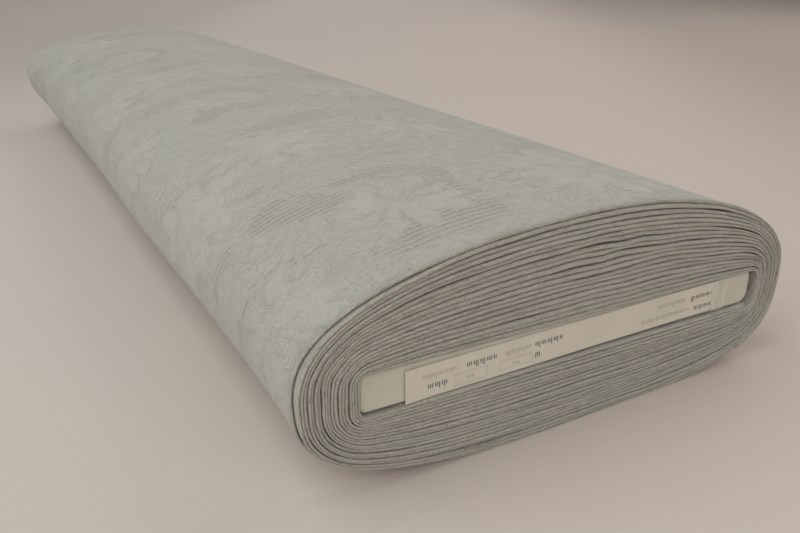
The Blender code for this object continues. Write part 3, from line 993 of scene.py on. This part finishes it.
# Rows of marks on the label, in place of its words: left and right end and height from the core's
# middle, and style. Two plain fields are outlined: left, right, lower and upper side.
UPPER_ROW = 0.0017
LOWER_ROW = -0.0030
MARKS = (
    (-0.0751, -0.0606, UPPER_ROW, "light"),
    (-0.0563, -0.0426, UPPER_ROW, "bold"),
    (-0.0385, -0.0260, UPPER_ROW, "light"),
    (-0.0243, -0.0103, UPPER_ROW, "bold"),
    (-0.0731, -0.0636, LOWER_ROW + 0.0003, "bold"),
    (-0.0241, -0.0218, LOWER_ROW + 0.0003, "bold"),
    (-0.0558, -0.0529, LOWER_ROW - 0.0005, "small"),
    (-0.0348, -0.0319, LOWER_ROW - 0.0006, "small"),
    (0.0421, 0.0584, UPPER_ROW, "light"),
    (0.0618, 0.0752, UPPER_ROW - 0.0003, "bold"),
    (0.0329, 0.0612, LOWER_ROW - 0.0003, "light"),
    (0.0643, 0.0753, LOWER_ROW - 0.0009, "bold"),
)
FIELDS = ((-0.0618, -0.0469, -0.0058, -0.0011), (-0.0411, -0.0256, -0.0052, -0.0013))
INK = 0.00002
FIELD_LINE = 0.00013
TALL_SHARE = 0.25
STROKES_TO_A_GROUP = 3
# A stroke's width, the pitch of strokes, and the height of a short one and of a tall one.
STROKES = {
    "bold": (0.00046, 0.00086, 0.0017, 0.0026),
    "light": (0.00026, 0.00084, 0.0016, 0.0024),
    "small": (0.00022, 0.00060, 0.0011, 0.0014),
}


def make_marks():
    """Rows of plain upright strokes where the words were, and two empty outlined fields."""
    draw = np.random.default_rng(7)
    parts = {"bold": [], "light": []}

    def block(kind, left, right, down, up):
        x = core.x + np.array([[left, right], [left, right]])
        z = core.z + np.array([[down, down], [up, up]]) - (x - core.x) * LABEL_SLOPE
        front = np.stack([x, label_face(x, z) - 2 * INK, z], axis=-1)
        parts[kind].append(slab(front, front + (0, INK, 0)))

    for left, right, middle, style in MARKS:
        width, pitch_here, short, tall = STROKES[style]
        ink = "bold" if style == "bold" else "light"
        x = left
        group = 0
        while x + width < right:
            rise = tall if draw.uniform() < TALL_SHARE else short
            top = middle + short / 2
            block(ink, x, x + width, top - rise, top)
            group += 1
            x += pitch_here
            if group % STROKES_TO_A_GROUP == 0:
                x += width
    for left, right, down, up in FIELDS:
        block("light", left, right, up - FIELD_LINE, up)
        block("light", left, right, down, down + FIELD_LINE)
        block("light", left, left + FIELD_LINE, down, up)
        block("light", right - FIELD_LINE, right, down, up)
    for kind, look in (("bold", bold_ink), ("light", light_ink)):
        points = []
        faces = []
        for some_points, some_faces in parts[kind]:
            faces += (some_faces + sum(len(p) for p in points)).tolist()
            points.append(some_points)
        obj = plain_mesh("label_marks_" + kind, np.concatenate(points), faces, smooth=False)
        finish_piece(obj, look)


TAPE_FORWARD = 0.00060  # of the label's own place, so that it lies over the label's bow
TAPE_MARGIN = 0.0006
TAPE_RIPPLE = 0.00003
TAPE_COLUMNS = 7
# Where the tape goes over the core's top edge: back from its front, and up from the edge.
TAPE_LAP = ((0.00012, -0.00022), (0.0005, 0.00012), (0.0012, 0.0002), (0.0025, 0.00018), (0.0040, 0.00016))


def make_tape(name, node, look, slant):
    """A strip of clear tape down the core's end, lapped over its top edge."""
    low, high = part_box(node)
    front = label_low.y - TAPE_FORWARD
    rise = BOARD_THICKNESS / 2
    down_the_face = np.linspace(0, 1, 12)
    way = [(front, -rise + TAPE_MARGIN + t * (2 * rise - 2 * TAPE_MARGIN)) for t in down_the_face]
    way += [(front + back, rise + up) for back, up in TAPE_LAP]
    left = low.x - core.x
    right = high.x - core.x
    sheet = []
    for y, z in way:
        lean = slant * (z + rise) / (2 * rise)
        x = np.linspace(left + lean, right + 0.4 * lean, TAPE_COLUMNS)
        ripple = TAPE_RIPPLE * np.sin(1900 * x + 300 * z)
        sheet.append(in_core(x, y + ripple, np.full(TAPE_COLUMNS, z)))
    faces = grid_faces(len(sheet), TAPE_COLUMNS)
    return finish_piece(plain_mesh(name, sheet, faces.tolist()), look, [node])


make_wrap()
make_cap("core_front_cap", "end_flap_front", -1, FRONT_CAP_RADII)
make_cap("core_back_cap", "end_flap_back", 1, [CARD_RADIUS] * 4)
make_label()
make_marks()
make_tape("tape_strip_left", "label_tape_left", faint_tape_look, 0.0)
make_tape("tape_strip_right", "label_tape_right", label_tape_look, 0.0011)
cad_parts["board_ribs"].data.materials.clear()
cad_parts["board_ribs"].data.materials.append(kraft_look)

# ---------------------------------------------------------------- stage
FLAT_REACH = 2.8
COVE_RADIUS = 0.9
WALL_RISE = 1.4


def floor_and_cove():
    """A floor that curves up on every side into a low wall, far from the bolt."""
    reach = FLAT_REACH + COVE_RADIUS * math.pi / 2 + WALL_RISE
    span = np.linspace(-reach, reach, 97)
    a, b = np.meshgrid(span, span)
    along = np.maximum(np.maximum(np.abs(a), np.abs(b)), 1e-6)
    bend = np.clip((along - FLAT_REACH) / COVE_RADIUS, 0, math.pi / 2)
    away = np.minimum(along, FLAT_REACH) + COVE_RADIUS * np.sin(bend)
    rise = COVE_RADIUS * (1 - np.cos(bend)) + np.maximum(along - FLAT_REACH - COVE_RADIUS * math.pi / 2, 0)
    points = np.stack([a / along * away, b / along * away, rise], axis=-1)
    return grid_mesh("studio_floor", points, np.stack([a, b], axis=-1))


# The warm pair is the paper's tone, the cool pair is painted cooler light, and the last colour is painted
# shade.
WARM_FLOOR = ((0.670, 0.575, 0.505, 1), (0.620, 0.532, 0.468, 1))
PAINTED_COOL_LIGHT_FLOOR = ((0.635, 0.575, 0.515, 1), (0.587, 0.532, 0.477, 1))
PAINTED_SHADE_FLOOR = (0.36, 0.31, 0.27, 1)


def floor_material():
    """Pale paper with painted light: a painted cooler light to the left, and painted shade to the left and
    right of a band behind the bolt.
    """
    g = Graph("studio_paper")
    at = g.place()
    soft = g.noise(at, 1.2, 2.0, 0.5)
    streaks = g.noise(g.vector("MULTIPLY", at, (0.02, 1.0, 1.0)), 330.0, 2.0, 0.5)
    fleck = g.math("MULTIPLY_ADD", streaks, 0.6, g.math("MULTIPLY", soft, 0.4))
    x, y, _ = g.separate(at)
    # Painted cooler light, blended in towards the left.
    painted_cool_light = g.step(g.math("MULTIPLY_ADD", y, -0.5, x), 0.30, -0.60)
    tone = g.blend(painted_cool_light, g.blend(fleck, *WARM_FLOOR), g.blend(fleck, *PAINTED_COOL_LIGHT_FLOOR))
    # Painted shade to the left and right of a band behind the bolt.
    band = g.math("MULTIPLY_ADD", y, -0.6, x)
    painted_shade = g.math("MULTIPLY", g.step(band, -0.28, -0.65), 0.36)
    painted_shade = g.math("MULTIPLY_ADD", g.step(band, 0.35, 0.85), 0.60, painted_shade)
    return g.finish(g.blend(painted_shade, tone, PAINTED_SHADE_FLOOR), 0.75, Specular_IOR_Level=0.2)


backdrop = floor_and_cove()
backdrop.data.materials.append(floor_material())

WORLD_COLOUR = (1.0, 0.985, 0.965, 1)
WORLD_STRENGTH = 0.045
world = bpy.data.worlds.new("studio")
world.use_nodes = True
sky = world.node_tree.nodes["Background"].inputs
sky["Color"].default_value = WORLD_COLOUR
sky["Strength"].default_value = WORLD_STRENGTH
bpy.context.scene.world = world


def softbox(name, place, aim, size, watts, colour):
    """A rectangular area light at a place, turned to what it lights."""
    light = bpy.data.lights.new(name, "AREA")
    light.shape = "RECTANGLE"
    light.size = size[0]
    light.size_y = size[1]
    light.energy = watts
    light.color = colour
    obj = bpy.data.objects.new(name, light)
    obj.location = place
    obj.rotation_euler = (Vector(aim) - Vector(place)).to_track_quat("-Z", "Y").to_euler()
    bpy.context.scene.collection.objects.link(obj)


softbox("window_side", (-1.1, 0.0, 1.5), (0, 0, 0), (2.0, 2.0), 20.3, (0.93, 1.0, 1.0))
softbox("low_left", (-1.6, -0.1, 0.55), (0, -0.1, 0), (1.8, 0.9), 3.5, (0.98, 1.0, 1.10))
softbox("front_left", (-1.3, -1.5, 1.0), (0, -0.3, 0), (1.6, 1.2), 5.3, (1.00, 1.0, 1.08))
softbox("front_fill", (-0.2, -1.7, 0.9), (0, -0.3, 0), (1.9, 1.3), 12.7, (1.01, 1.0, 0.96))
softbox("right_fill", (1.5, 0.0, 1.1), (0, 0, 0), (1.6, 1.4), 8.3, (1.10, 1.0, 0.95))
softbox("backdrop_fill", (0.9, 2.2, 1.9), (1.0, 2.5, 0), (3.0, 1.4), 26.0, (0.97, 1.0, 1.03))

# ---------------------------------------------------------------- camera
# Solved from the corners of the bolt: left of its end, about 0.2 m in front of it, looking down.
CAMERA_AT = Vector((-0.1989, cad_low.y - 0.2082, 0.1860))
HEADING = math.radians(29.35)
DOWN = math.radians(22.49)
ROLL = math.radians(-0.39)
SENSOR = 36.0  # millimetres, as the lens
LENS = 35.52
camera = bpy.data.objects.new("camera", bpy.data.cameras.new("camera"))
camera.data.sensor_width = SENSOR
camera.data.sensor_fit = "HORIZONTAL"
camera.data.lens = LENS
camera.data.clip_start = 0.01
forward = Vector((math.sin(HEADING) * math.cos(DOWN), math.cos(HEADING) * math.cos(DOWN), -math.sin(DOWN)))
level = Vector((math.cos(HEADING), -math.sin(HEADING), 0))
upward = level.cross(forward)
right = level * math.cos(ROLL) + upward * math.sin(ROLL)
upward = upward * math.cos(ROLL) - level * math.sin(ROLL)
turn = camera.matrix_world.to_3x3()
for row in range(3):
    turn[row] = (right[row], upward[row], -forward[row])
camera.matrix_world = turn.to_4x4()
camera.location = CAMERA_AT
bpy.context.scene.collection.objects.link(camera)
bpy.context.scene.camera = camera
bpy.context.scene.view_settings.view_transform = "Standard"
